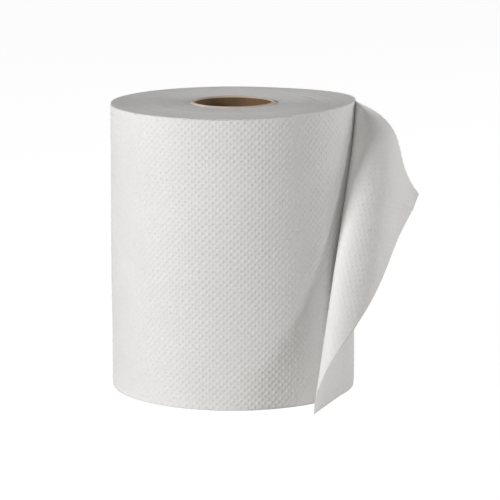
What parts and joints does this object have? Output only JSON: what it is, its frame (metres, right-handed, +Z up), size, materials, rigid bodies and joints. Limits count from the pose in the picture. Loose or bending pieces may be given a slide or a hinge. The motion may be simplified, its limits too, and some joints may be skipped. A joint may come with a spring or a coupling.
{
  "type": "paper towel roll",
  "caption": "Creped paper towel web wound on an open kraft tube, standing on end, with its loose end curled away from the roll.",
  "frame": {"origin": "centre of the tube's bore on the base plane", "axes": "+Z up along the bore, -Y towards the front, where the loose end's free edge faces"},
  "size_m": [0.2166, 0.1821, 0.2029],
  "materials": {
    "kraft_tube": "spiral-wound brown kraft board",
    "towel_paper": "white creped and dot-embossed paper, matte"
  },
  "bodies": {
    "root": {"paper_core": "kraft_tube", "towel_roll": "towel_paper"}
  },
  "joints": []
}
